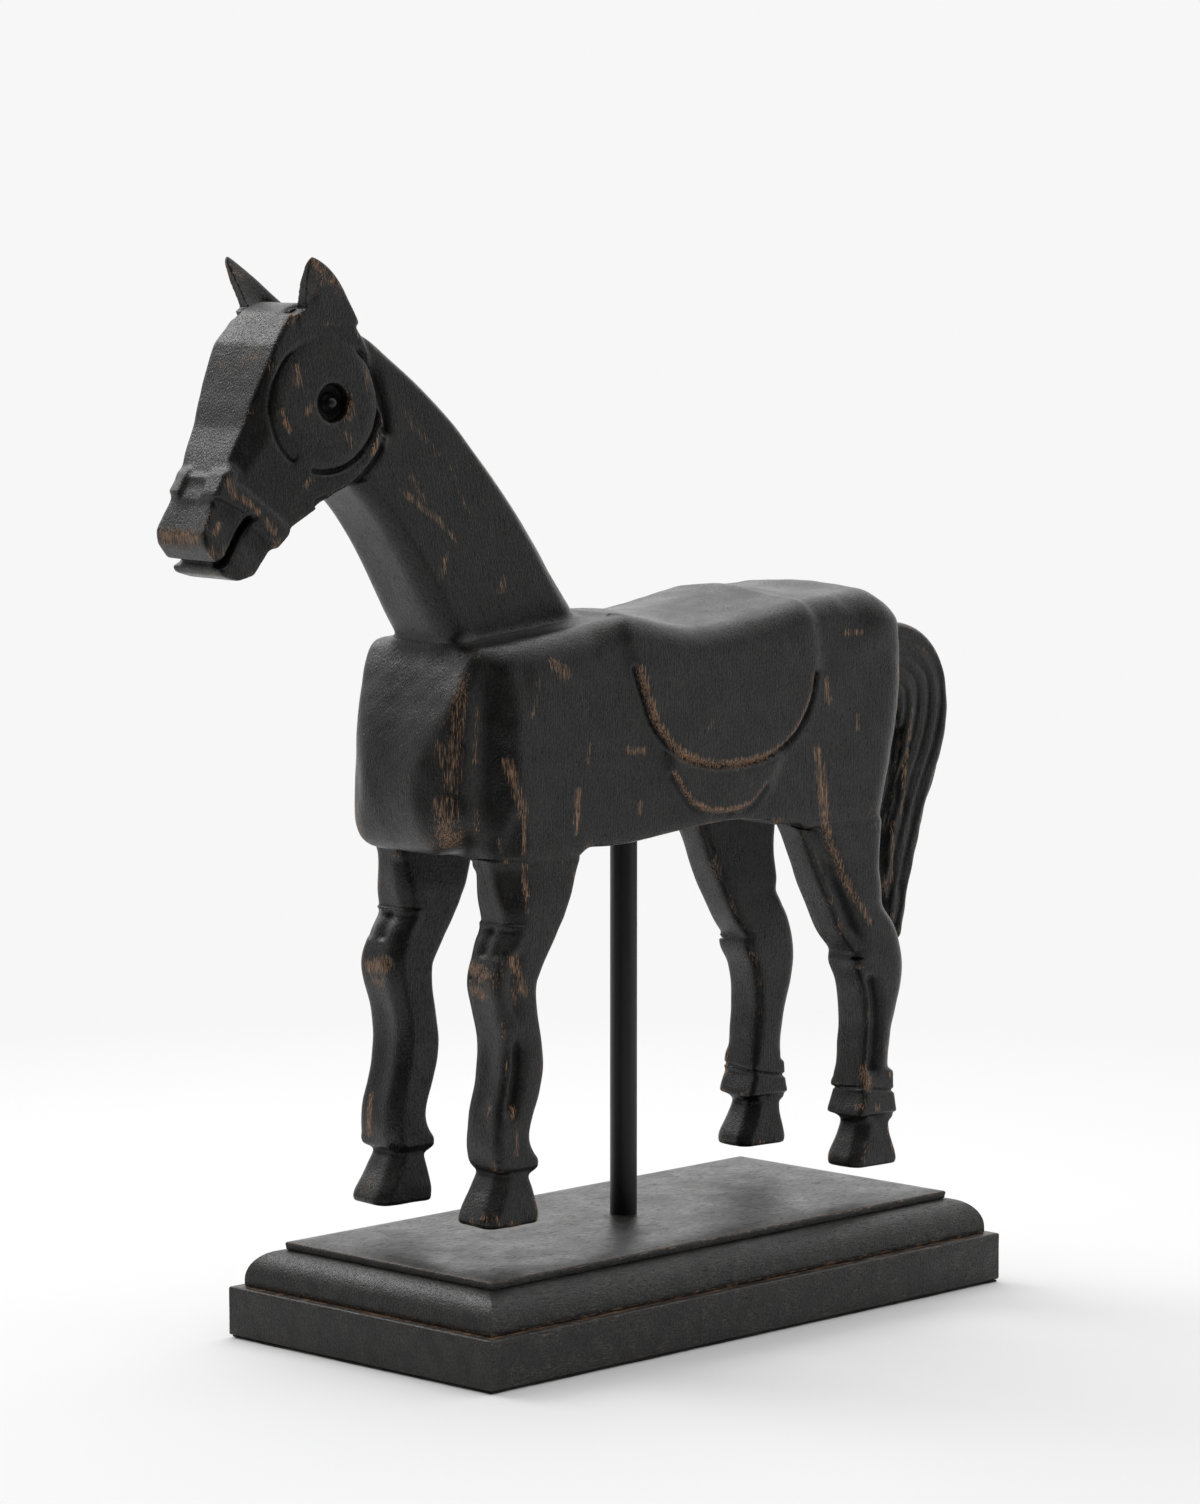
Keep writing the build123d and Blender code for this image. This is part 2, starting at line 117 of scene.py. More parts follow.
class Block:
    """A box of cells that a piece is carved in, with the coordinates of its cells."""

    def __init__(self, low, high, step):
        self.step = step * coarse
        self.start = np.floor(np.array(low) / self.step).astype(int)
        self.shape = tuple(np.ceil(np.array(high) / self.step).astype(int) - self.start + 1)
        axes = [(self.start[i] + np.arange(self.shape[i])) * self.step for i in range(3)]
        self.x = axes[0].astype(np.float32)[:, None, None]
        self.y = axes[1].astype(np.float32)[None, :, None]
        self.z = axes[2].astype(np.float32)[None, None, :]
        self.side = np.abs(self.y)

    @property
    def axes(self):
        return self.x, self.side, self.z

    def stock(self, *names, band=6.0):
        """The distance to the nearest of some CAD nodes, up to band away."""
        field = np.full(self.shape, band, np.float32)
        transform = vdb.createLinearTransform(voxelSize=self.step)
        for name in names:
            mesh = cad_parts[name].data
            mesh.calc_loop_triangles()
            triangles = rows_of(mesh.loop_triangles, "vertices", np.int32).astype(np.uint32)
            grid = vdb.FloatGrid.createLevelSetFromPolygons(
                rows_of(mesh.vertices, "co") * 1000, triangles=triangles,
                transform=transform, halfWidth=band / self.step)
            distance = np.zeros(self.shape, np.float32)
            grid.copyToArray(distance, ijk=tuple(int(i) for i in self.start))
            np.minimum(field, distance, out=field)
        return field

    def sand(self, field, across, upright=None):
        """Rounds corners: by about twice across in plan, and by upright in the side view."""
        return blur(field, (across / self.step, across / self.step, (upright or across) / self.step))

    def mirrored(self):
        """The same box of cells on the other side of the middle plane."""
        other = copy.copy(self)
        other.start = self.start * [1, -1, 1] - [0, self.shape[1] - 1, 0]
        other.y, other.side = -self.y[:, ::-1], self.side[:, ::-1]
        return other

    def at(self, field, points):
        """The field's value at points in millimetres, read between the cells."""
        place = points / self.step - self.start
        place = np.clip(place, 0, np.array(self.shape) - 1.001)
        cell = place.astype(int)
        part = place - cell
        total = np.zeros(len(points))
        for corner in np.ndindex(2, 2, 2):
            share = np.prod([part[:, i] if corner[i] else 1 - part[:, i] for i in range(3)], axis=0)
            total += share * field[cell[:, 0] + corner[0], cell[:, 1] + corner[1], cell[:, 2] + corner[2]]
        return total


def segment_distance(points, start, end):
    """The distance of each point from the line between two points."""
    along = end - start
    share = np.clip(((points - start) @ along) / max(along @ along, 1e-9), 0, 1)
    return np.linalg.norm(points - start - share[:, None] * along, axis=1)


def curve_points(points, count=24):
    """A smooth curve through points, as many short runs."""
    p = np.array([points[0]] + list(points) + [points[-1]], float)
    t = np.linspace(0, 1, count, endpoint=False)[:, None]
    runs = [0.5 * (2 * p[i] + (p[i + 1] - p[i - 1]) * t
                   + (2 * p[i - 1] - 5 * p[i] + 4 * p[i + 1] - p[i + 2]) * t ** 2
                   + (3 * p[i] - p[i - 1] - 3 * p[i + 1] + p[i + 2]) * t ** 3)
            for i in range(1, len(p) - 2)]
    return np.vstack(runs + [p[-1:]])


def plane_distance(x, z, points):
    """The distance in the side view from each cell to a curve, for x and z that broadcast."""
    total = None
    for start, end in zip(points[:-1], points[1:]):
        dx, dz = end[0] - start[0], end[1] - start[1]
        share = np.clip(((x - start[0]) * dx + (z - start[1]) * dz) / (dx * dx + dz * dz), 0, 1)
        near = np.hypot(x - start[0] - share * dx, z - start[1] - share * dz)
        total = near if total is None else np.minimum(total, near)
    return total


def outline(block, field, y, going):
    """Where the field's outline lies on the plane at y, going forward, back or up.

    Forward and back give an x for each height; up gives a height for each x.
    """
    row = int(round(y / block.step)) - block.start[1]
    plane = field[:, row, :]
    across, along = block.z[0, 0], block.x[:, 0, 0]
    if going == "up":
        plane, across, along = plane.T, along, across
    if going == "back":
        plane, along = plane[::-1], along[::-1]
    inside = plane < 0
    last = np.clip(len(inside) - 1 - np.argmax(inside[::-1], axis=0), 0, len(inside) - 2)
    rows = np.arange(inside.shape[1])
    here, beyond = plane[last, rows], plane[last + 1, rows]
    share = np.clip(here / np.minimum(here - beyond, -1e-6), 0, 1)
    edge = along[last] + share * (along[1] - along[0])
    edge[~inside.any(axis=0)] = np.nan
    known = ~np.isnan(edge)
    edge = np.interp(across, across[known], edge[known])
    edge = blur(edge.astype(np.float32), (1.2 / block.step,))
    return edge[:, None, None] if going == "up" else edge[None, None, :]


def carried_up(block, field, level):
    """Carries the section at a level straight up."""
    row = int(round(level / block.step)) - block.start[2]
    return np.where(block.z > level, field[:, :, row:row + 1], field)


def ended(field, beyond, reach):
    """Ends a piece past its joint. It shrinks there, so it meets its neighbour with no groove."""
    return np.maximum(field + 0.22 * np.maximum(beyond, 0), beyond - reach)


# --- From a field to a piece ---
def hand_waviness(points):
    """The small unevenness that a hand-carved face has, in millimetres."""
    rng = np.random.default_rng(7)
    total = np.zeros(len(points))
    for size, height in ((46.0, 0.06), (27.0, 0.05), (15.0, 0.035), (8.0, 0.025)):
        for _ in range(3):
            direction = rng.normal(size=3)
            direction /= np.linalg.norm(direction)
            total += height * np.sin(points @ direction * 2 * pi / size + rng.uniform(0, 2 * pi))
    return total


def worn(points, marks):
    """How worn the paint is at each point, from a list of marks.

    A mark is (start, end, width, strength). Each is made on the left side, and again on the
    right, a little away from its mirror image so that the sides differ.
    """
    total = np.zeros(len(points))
    for start, end, width, strength in marks:
        for flip, shift in (((1, 1, 1), (0, 0, 0)), ((1, -1, 1), (2.5, 0, -3.5))):
            distance = segment_distance(points, *(np.array([start, end]) * flip + shift))
            total = np.maximum(total, strength * (1 - smooth(distance, 0.1 * width, 1.7 * width)))
    return total


def piece_from(name, block, field, shape, marks, wave=1.0):
    """Meshes the field's surface, and stores how worn and how creased each point is.

    shape is the carving before it was parted into pieces, so that a joint doesn't count as an edge.
    """
    grid = vdb.FloatGrid(float(field.max()))
    grid.transform = vdb.createLinearTransform(voxelSize=block.step)
    grid.copyFromArray(np.ascontiguousarray(field, np.float32), ijk=tuple(int(i) for i in block.start))
    points, quads = grid.convertToQuads(0.0)
    points = points.astype(float)
    mesh = bpy.data.meshes.new(name)
    mesh.from_pydata((points / 1000).tolist(), [], quads[:, ::-1].tolist())
    mesh.update()
    normals = rows_of(mesh.vertex_normals, "vector")
    if mesh_volume(mesh) < 0:
        mesh.flip_normals()
        normals = -normals
    curvature = block.at(block.sand(shape, 2.2) - shape, points)
    points += normals * (wave * hand_waviness(points) - set_back)[:, None]
    mesh.vertices.foreach_set("co", (points / 1000).astype(np.float32).ravel())
    store(mesh, "wear", worn(points, marks))
    store(mesh, "edge", smooth(curvature, 0.12, 0.75))
    store(mesh, "crease", smooth(-curvature, 0.10, 0.7))
    mesh.polygons.foreach_set("use_smooth", [True] * len(mesh.polygons))
    mesh.update()
    return new_object(name, mesh)


def new_object(name, data):
    """An object in the scene for a mesh, a camera or a lamp."""
    made = bpy.data.objects.new(name, data)
    scene.collection.objects.link(made)
    return made


def lean(piece, start, end, shift):
    """Moves a piece's far end by shift, growing from nothing at the height start to all at end."""
    mesh = piece.data
    points = rows_of(mesh.vertices, "co")
    share = np.clip((points[:, 2] * 1000 - start) / (end - start), 0, 1)
    points += share[:, None] * np.array(shift, np.float32) / 1000
    mesh.vertices.foreach_set("co", points.ravel())
    mesh.update()


def mesh_volume(mesh):
    """The signed volume, which is negative where the faces point inwards."""
    corners = rows_of(mesh.vertices, "co", float)
    mesh.calc_loop_triangles()
    index = rows_of(mesh.loop_triangles, "vertices", np.int32)
    a, b, c = (corners[index[:, i]] for i in range(3))
    return np.einsum("ij,ij->i", a, np.cross(b, c)).sum() / 6


def store(mesh, name, values):
    """Keeps one number for each vertex, for the material to read."""
    attribute = mesh.attributes.new(name, "FLOAT", "POINT")
    attribute.data.foreach_set("value", np.asarray(values, np.float32))


# --- Torso ---
def seat_height(x):
    """The height at x of the sloping plane that the neck stands on."""
    rise = (seat_rear[1] - seat_front[1]) / (seat_rear[0] - seat_front[0])
    return seat_front[1] + rise * (x - seat_front[0])


def shoulder_bevel(block, field, edge):
    """Bevels the front outer corner of the shoulder and leg: edge is the front face's x."""
    x, side, z = block.axes
    run = np.interp(z, [60, 88, 118, 145, 156, 180], [2.4, 3.0, 2.6, 4.0, 6.0, 7.8])
    bevel = ((x - (edge - run)) + 2 * (side - body_half_width)) / np.sqrt(5)
    # Where the leg comes out from under the chest, its front is cut back along a curve.
    share = np.clip((edge - x) / run, 0, 1)
    below = smooth(front_leg_top + 18 * share - z, 0, 1.2) * smooth(z, 158, 172)
    return np.where(x < shoulder_front + 0.4, np.maximum(field, bevel + 1.5 * below), field)


# The saddle cloth's edge and its flap's, as (x, z).
cloth_edge = curve_points([(28.5, 243), (24, 231), (19, 221), (9, 211), (-4, 206), (-20, 204.5),
                           (-36, 206.5), (-48, 212), (-57, 223), (-60.5, 236)], 4)
flap_edge = curve_points([(11, 203), (2, 191.5), (-9, 187.5), (-17, 187), (-28, 189), (-36, 196)], 4)


def chest_corners(block, field):
    """Rounds the chest's lower corners in the front view."""
    x, side, z = block.axes
    half = np.interp(x, [92, 100, 107.5, 112], [33, 31, 26, 14])
    radius = np.where(block.y > 0, 20.0, 14.0)
    corner = np.hypot(np.maximum(side - half - 1 + radius, 0), np.maximum(179 + radius - z, 0)) - radius
    return np.where(x > 92.5, np.maximum(field, corner), field)


def rear_corner(block, field, rear):
    """Rounds the upright rear corner of the rump and the hind leg: rear is the rear face's x."""
    radius = 6.0
    out, behind = block.side - body_half_width + radius, rear + radius - block.x
    return np.where((out > 0) & (behind > 0), np.maximum(field, np.hypot(out, behind) - radius), field)


def body_field(block):
    """The torso, the foot of the neck and the upper legs as one carving, before they are parted."""
    x, side, z = block.axes
    field = block.stock("torso", "front_leg_left", "front_leg_right", "hind_leg_left", "hind_leg_right",
                        "leg_dowels", "neck_dowels", "tail_dowel", "head_and_neck")
    bore = np.maximum(np.hypot(x, block.y) - rod_bore - 1, np.abs(z - 213) - 27)
    field = np.minimum(field, bore)
    field = chest_corners(block, field)
    field = shoulder_bevel(block, field, shoulder_front)
    # The top edges of the rump and the shoulders are rounded far down.
    top = outline(block, field, 27.0, "up")
    radius = np.interp(x, [-76, -64, 30, 46], [10.5, 3.0, 3.0, 13.0])
    out, up = side - body_half_width + radius, z - top + radius
    cloth = (x > -62) & (x < 30)
    rounded_edge = (out > 0) & (up > 0) & (x < shoulder_front) & ~cloth
    field = np.where(rounded_edge, np.maximum(field, np.hypot(out, up) - radius), field)
    field = rear_corner(block, field, outline(block, field, 26.0, "back"))
    # The seat is crowned, and the rump stands full up to its rear edge.
    field -= 3.2 * bell(block.y, -9, 24) * window(x, -60, 4, 14) * smooth(z, 236, 248)
    field -= (2.0 + 2.0 * bell(side, 0, 26)) * window(x, -112, -96, 16) * smooth(z, 242, 254)
    # A scooped shelf runs along the neck's foot.
    field += 1.8 * bell(side, 24.5, 4.5) * window(x, 46, 84, 14) * smooth(z, 236, 252)
    # A smooth valley parts the chest from the shoulder, and turns back under the shelf.
    field += 1.8 * bell(np.hypot(x - 92.5, side - 34.5), 0, 4.5) * window(z, 198, 240, 9)
    field += 1.6 * bell(np.hypot(x - 81, 0.8 * (z - 242)), 0, 5.0) * smooth(side, 33, 38)
    # The chest is full down the near ridge and slimmer high on the far one, with a hollow between.
    near = smooth(block.y, 0, 10)
    field -= 1.6 * near * bell(np.hypot(x - 103, side - 30), 0, 5.5) * window(z, 190, 236, 9)
    field += 1.5 * (1 - near) * bell(np.hypot(x - 103, side - 31), 0, 9) * window(z, 214, 236, 9)
    field += 0.6 * bell(side, 0, 13) * smooth(x, 96, 104) * window(z, 188, 240, 10)
    soft = block.sand(field, 2.7)
    field = block.sand(field, 1.5)
    # The chest and the rump's rear corners are rounder than the rest.
    chest = smooth(x, 80, 92) * smooth(z, 178, 188)
    rump = (1 - smooth(x, -103, -92)) * window(z, 196, 246, 10)
    field += (soft - field) * np.maximum(chest, rump)
    # A crisp line runs along the edges of the saddle cloth and its flap.
    for line, depth in ((cloth_edge, 1.4), (flap_edge, 1.0)):
        field += depth * smooth(side, 30, 36) * bell(plane_distance(x, z, line), 0, 1.1)
    return field


def above_seat(block):
    """Positive where the wood belongs to the neck."""
    return np.where(block.x > 30, block.z - seat_height(block.x), -9)


torso_marks = [
    ((101, 29, 244), (105, 28, 205), 3.2, 0.62), ((105, 25, 197), (103, 24, 185), 5.2, 0.74),
    ((110, 12, 236), (112, 11, 200), 1.2, 0.35), ((96, 31, 232), (97, 31, 214), 1.6, 0.5),
    ((97, 30, 196), (95, 31, 184), 2.0, 0.5),
    ((66, 38, 247), (61, 38.5, 243), 3.0, 0.66), ((74, 38.5, 241), (76, 38.5, 229), 1.0, 0.6),
    ((50, 38.5, 217), (50, 38.5, 211), 1.3, 0.7), ((32, 38.5, 214), (24, 38.5, 213), 1.6, 0.66),
    ((55, 38.5, 201), (56, 38.5, 186), 1.6, 0.8), ((26, 38.5, 194), (26, 38.5, 191), 1.3, 0.7),
    ((86, 36, 213), (80, 38.5, 193), 2.2, 0.78), ((80, 38.5, 196), (80.5, 38.5, 176), 1.2, 0.8),
    ((-84, 38, 250), (-76, 38, 250), 1.5, 0.6), ((-66, 38.5, 233), (-67, 38.5, 225), 1.8, 0.72),
    ((-82, 38.5, 219), (-82, 38.5, 214), 1.2, 0.7), ((-62, 38.5, 207), (-66, 38.5, 180), 2.6, 0.78),
    ((-103, 36.5, 242), (-105, 36, 212), 1.8, 0.7), ((5, 40, 256), (10, 40, 257), 2.0, 0.45),
    ((-40, 40, 256), (-30, 40, 255), 1.6, 0.5), ((-10, 40, 222), (-4, 40, 219), 1.8, 0.35),
]


def rubbed_line(line, width):
    """Marks along a line of the saddle cloth, which is rubbed most at its front end."""
    marks = []
    for index, (start, end) in enumerate(zip(line[:-1], line[1:])):
        rub = 0.9 - 0.1 * sin(index * 0.8) - 0.25 * (index / len(line)) ** 2
        inward = [(0.96 * x - 0.6, 40.0, 0.96 * z + 9.0) for x, z in (start, end)]
        marks.append((*inward, width, rub))
    return marks


torso_marks += rubbed_line(cloth_edge, 2.1) + rubbed_line(flap_edge, 1.6)


def carve_torso():
    """The torso ends on the planes that the legs and the neck are glued to."""
    block = Block((-114, -44, 170), (116, 44, 270), 1.0)
    shape = body_field(block)
    field = np.maximum(shape, rod_bore - np.hypot(block.x, block.y) - 20 * smooth(block.z, 234, 237))
    leg_top = np.where(block.x > 0, front_leg_top - 2.2 * smooth(block.x, 88, 92), hind_leg_top)
    field = ended(field, leg_top - block.z, lap)
    field = ended(field, above_seat(block), 0.3)
    return piece_from("carved_torso", block, field, shape, torso_marks)


# --- Legs ---
def turned_hoof(block, field, centre, half, edge):
    """Sets the hoof's sides back under a ledge, flares them to the ground, and rounds its toe."""
    x, side, z = block.axes
    width = np.interp(z, [48, 52, 65.0, 67.2, 68.2, 200],
                      [half + 0.3, half + 0.2, half - 1.3, half - 1.2, half + 0.1, half + 0.1])
    across = np.abs(side - centre)
    field = np.maximum(field, across - width.astype(np.float32))
    toe = ((x - edge + 1.6) + 0.9 * (across - width + 1.6)) / 1.35
    return np.where(z < hoof_top, np.maximum(field, toe), field)


def carve_front_leg(block):
    x, side, z = block.axes
    centre, half = body_half_width - front_thickness / 2, front_thickness / 2
    field = block.stock("front_leg_left", "torso", "leg_dowels")
    edge = outline(block, field, centre, "forward")
    field = turned_hoof(block, field, centre, half, edge)
    field = shoulder_bevel(block, field, edge)
    # The inner front corner is rounded as far up as the chest.
    inner = ((x - edge + 2.6) - 0.8 * (side - centre + half)) / 1.28
    field = np.maximum(field, np.where(z < 174, inner, -9))
    rounder = block.sand(field, 1.6, 0.7)
    field = block.sand(field, 1.0, 0.6)
    field += (rounder - field) * smooth(z, 70, 73)
    # The knee has a ledge on top, and below it two flutes in the sloping front.
    ahead = smooth(x - edge, -7, -2)
    field -= 0.8 * ahead * smooth(knee_top - z, 0, 0.7) * smooth(z, 141, 151)
    for flute in (28.5, 36.0):
        field += 0.8 * ahead * window(z, 145, 153, 2.2) * bell(side, flute, 2.1)
    # A channel is gouged down the front corner of the cannon, and another beside the knee.
    channel = bell(np.hypot(x - edge + 4.2, (side - 37.4) * 0.8), 0, 2.7) * window(z, 92, 110, 10)
    field += 2.2 * channel
    field += 0.9 * bell(np.hypot(x - edge + 5.5, side - 38.0), 0, 2.8) * window(z, 126, 142, 7)
    field += 0.5 * bell(side, 29, 4.5) * window(z, 92, 118, 9) * ahead
    # A small knot has fallen out of the knee.
    field += 1.3 * bell(np.sqrt((x - edge) ** 2 + (side - 23.4) ** 2 + (0.7 * (z - 136)) ** 2), 0, 1.4)
    shape = carried_up(block, field - 1.3 * (1 - smooth(z, 160, 176)), front_leg_top - 0.6)
    return shape, ended(shape, z - front_leg_top, lap)


front_leg_marks = [
    ((92, 24, 139), (92, 33, 137), 3.6, 0.84), ((92, 26, 132), (92, 31, 131), 3.0, 0.78),
    ((86, 38.3, 143), (82, 38.5, 131), 2.6, 0.8), ((86, 38.3, 133), (85, 38.4, 128), 1.6, 0.7),
    ((91, 33, 90), (92, 33, 75), 1.6, 0.8), ((86, 38, 90), (85, 38.5, 74), 1.5, 0.82),
    ((73, 38, 112), (73.5, 38, 99), 0.8, 0.7), ((80, 38.5, 176), (80, 38.5, 160), 1.3, 0.8),
    ((57, 38.3, 171), (56, 38.3, 167), 1.2, 0.7), ((68, 38.4, 152), (67, 38.4, 147), 1.2, 0.6),
    ((92, 29, 58), (94, 31, 51), 2.4, 0.55), ((90, 34, 62), (91, 35, 52), 1.2, 0.5),
]


def carve_hind_leg(block):
    x, side, z = block.axes
    centre, half = body_half_width - hind_thickness / 2, hind_thickness / 2
    field = block.stock("hind_leg_left", "torso", "leg_dowels")
    edge = outline(block, field, centre, "forward")
    field = turned_hoof(block, field, centre, half, edge)
    # A wide bevel narrows down the thigh and stops at the hock.
    run = np.interp(z, [128, 131, 146, 166, 184], [4.0, 8.0, 10.5, 11.0, 11.0])
    bevel = ((x - (edge - run)) + 6.0 * (side - body_half_width)) / 6.1
    field = np.maximum(field, bevel - 8 * (1 - smooth(z, 127, 129.5)))
    # The inner corners are taken off, and the rear one most of all above the hock.
    inner = ((x - edge + 1.0) - 0.8 * (side - centre + half)) / 1.28
    rear = outline(block, field, centre, "back")
    deep = np.interp(z, [90, 110, 128, 140, 152], [2.2, 2.2, 3.0, 3.5, 0.0])
    inner = np.maximum(inner, ((rear + deep - x) - 0.7 * (side - centre + half)) / 1.22)
    field = np.maximum(field, np.where(z > 80, inner, -9))
    field = np.where(z > 84, rear_corner(block, field, rear), field)
    rounder = block.sand(field, 1.5, 0.7)
    field = block.sand(field, 0.9, 0.5)
    field += (rounder - field) * smooth(z, 82, 86)
    hollow = bell(np.hypot(x - edge + 0.62 * run, 0.8 * (side - 38.2)), 0, 3.6)
    field += 2.8 * hollow * smooth(z, 131, 142)
    # A line rings the cannon, and the cuff below it flares down to the ledge over the hoof.
    line = 76.8 + 0.1 * (side - centre + half) + 0.17 * np.minimum(x - edge, 0)
    field += 0.8 * bell(z, line, 0.6)
    field -= 0.7 * np.clip((line - z) / 8.5, 0, 1) * smooth(z, hoof_top, hoof_top + 0.8)
    # The V-shaped notch at the hock, and the channel down the cannon's corner.
    notch = 1.5 - np.abs(z - hock) - 0.22 * np.maximum(edge - x, 0)
    field = np.maximum(field, notch + 0.15 * (side - body_half_width))
    channel = bell(np.hypot(x - edge + 3.8, (side - 37.8) * 0.8), 0, 2.7) * window(z, 86, 118, 5)
    field += 2.0 * channel
    shape = carried_up(block, field - 0.9 * (1 - smooth(z, 150, 172)), hind_leg_top - 0.6)
    return shape, ended(shape, z - hind_leg_top, lap)


hind_leg_marks = [
    ((-106, 37, 124), (-107, 36, 118), 1.8, 0.75), ((-79, 37, 124), (-85, 38.5, 124.4), 0.9, 0.85),
    ((-86, 38, 86), (-88, 38.5, 79), 2.6, 0.8), ((-85, 36.5, 71), (-92, 38.6, 70.5), 1.8, 0.85),
    ((-66, 38.5, 179), (-72, 38.5, 165), 2.4, 0.8), ((-73, 38.5, 163), (-80, 38.5, 152), 2.0, 0.75),
    ((-82, 38.5, 150), (-88, 38.5, 141), 1.6, 0.72), ((-100, 38, 88), (-100.5, 38, 82), 0.8, 0.5),
]


def carve_legs():
    """Each leg is carved on the left, and its mirror image is made for the right."""
    made = []
    for where, low, high, carve, marks in (
            ("front", (47, 15, 45), (101, 44, 182), carve_front_leg, front_leg_marks),
            ("hind", (-113, 15, 45), (-44, 44, 184), carve_hind_leg, hind_leg_marks)):
        block = Block(low, high, 0.5)
        shape, field = carve(block)
        left = piece_from(f"carved_{where}_leg_left", block, field, shape, marks)
        right = piece_from(f"carved_{where}_leg_right", block.mirrored(), field[:, ::-1],
                           shape[:, ::-1], marks)
        lean(left, 68, 50, (0.9, 0, 0))
        lean(right, 68, 50, (2.2, 0, 0))
        made += [(left, f"{where}_leg_left"), (right, f"{where}_leg_right")]
    return made


# --- Head, neck and ears ---
def shape_head(block, field):
    """Cuts the details of the head, in any block that holds some of it."""
    x, side, z = block.axes
    # The brow runs on under the front of the left ear.
    brow = np.maximum(np.abs(x - 163.6) - 2.6, np.abs(block.y - 14.2) - 3.4)
    field = np.minimum(field, np.maximum(brow, np.abs(z - 367.5) - 3.2))
    # The face: a long bevel runs back from a ridge on each side of the front.
    front = [(158, 376), (166.5, 371.5), (173.5, 361), (184.3, 332.5), (193, 316)]
    behind = plane_distance(x, z, front)
    from_cheek = np.hypot(x - cheek_x, z - cheek_z)
    ridge = np.interp(z, [316, 328, 334, 341, 348, 355, 360], [11.6, 12.4, 13.0, 13.8, 15.3, 17.4, 18.5])
    narrower = np.where(block.y < 0, 3.4, 0)
    bevel = ((side - ridge - narrower) - 0.46 * behind) / 1.1
    above_band = smooth(z - 319.0 - 0.9 * np.minimum(x - 190, 0), 0, 2.5)
    outside = smooth(from_cheek, cheek_radius - 0.6, cheek_radius + 0.4) * above_band
    ahead = smooth(x, 128, 140)
    field = np.maximum(field, bevel - 9 * (1 - outside * ahead))
    # The forehead's right corner is rounded, and the noseband's right block is worn down.
    field += 1.2 * bell(np.sqrt((x - 167) ** 2 + (block.y + 18) ** 2 + (z - 367) ** 2), 0, 6.5)
    block_corner = np.sqrt((x - 195) ** 2 + (block.y + 15.5) ** 2 + (0.6 * (z - 315)) ** 2)
    field += 1.8 * bell(block_corner, 0, 5.0)
    field = block.sand(field, 0.75)
    # The cheek is a disc with a soft rim and a groove round it, open at the front below.
    cheek = smooth(side, 12, 15)
    angle = np.degrees(np.arctan2(z - cheek_z, x - cheek_x))
    ring = (1 - window(angle, -74, -57, 3)) * cheek * (1 - 0.9 * smooth(z, 356, 361))
    rim = smooth(from_cheek, cheek_radius - 5.0, cheek_radius)
    field += 0.45 * ring * rim * (1 - smooth(from_cheek, cheek_radius, cheek_radius + 2.5))
    field += 0.85 * ring * bell(from_cheek, cheek_radius, 0.68)
    # The eye is a domed boss in a deep ring.
    from_eye = np.hypot(x - eye_x, z - eye_z)
    field += 0.8 * cheek * smooth(from_eye, 0.4, 2.8) * (1 - smooth(from_eye, 3.0, 3.4))
    field += 2.0 * cheek * window(from_eye, 3.7, 5.9, 0.7)
    # The plate behind the cheek stands a little proud of the neck, to the ear's rear edge.
    plate = curve_points([(139, 372), (133.4, 360), (130.6, 350), (127.6, 340), (126.4, 330)], 6)
    below_ear = smooth(side, 9, 13) * (1 - smooth(z, 348, 357))
    field += 1.5 * bell(plane_distance(x + 2.4, z, plate), 0, 1.8) * below_ear
    # A crease parts the jaw from the neck, and the nose's front is a little hollow.
    jaw = curve_points([(127, 330), (128, 322), (140, 311.2), (154, 306)], 8)
    field += 1.3 * smooth(side, 11, 15) * bell(plane_distance(x, z, jaw), 0.6, 0.9)
    lips = [(182, 302), (188.5, 293.5), (193, 287.3), (197, 285.8), (204, 287)]
    slot = np.maximum(smooth(side, 7, 11), smooth(x, 191, 196))
    field += 1.6 * slot * bell(plane_distance(x, z, lips), 0, 1.1)
    field += 0.5 * bell(side, 0, 7) * smooth(x, 193, 199) * window(z, 294, 306, 3)
    return field


def ear_region(block):
    """Negative where the wood belongs to the ears."""
    along = np.maximum(ear_seat_rear - block.x, block.x - ear_seat_front)
    return np.maximum(np.maximum(along, ear_inner - block.side), ear_seat - block.z)


head_stock = ("head_and_neck", "ear_left", "ear_right", "neck_dowels", "ear_pegs")


def carve_head():
    block = Block((26, -27, 240), (207, 27, 394), 0.62)
    shape = shape_head(block, block.stock(*head_stock, band=4.0))
    # The neck's foot is carved together with the body, so it runs into the chest with no step.
    above = block.z - seat_height(block.x)
    shape += (body_field(block) - shape) * (1 - smooth(above, 2, 12)) * (above < 12)
    field = ended(shape, -above, lap)
    field = ended(field, -ear_region(block), lap)
    return piece_from("carved_head_and_neck", block, field, shape, head_marks, wave=0.5)


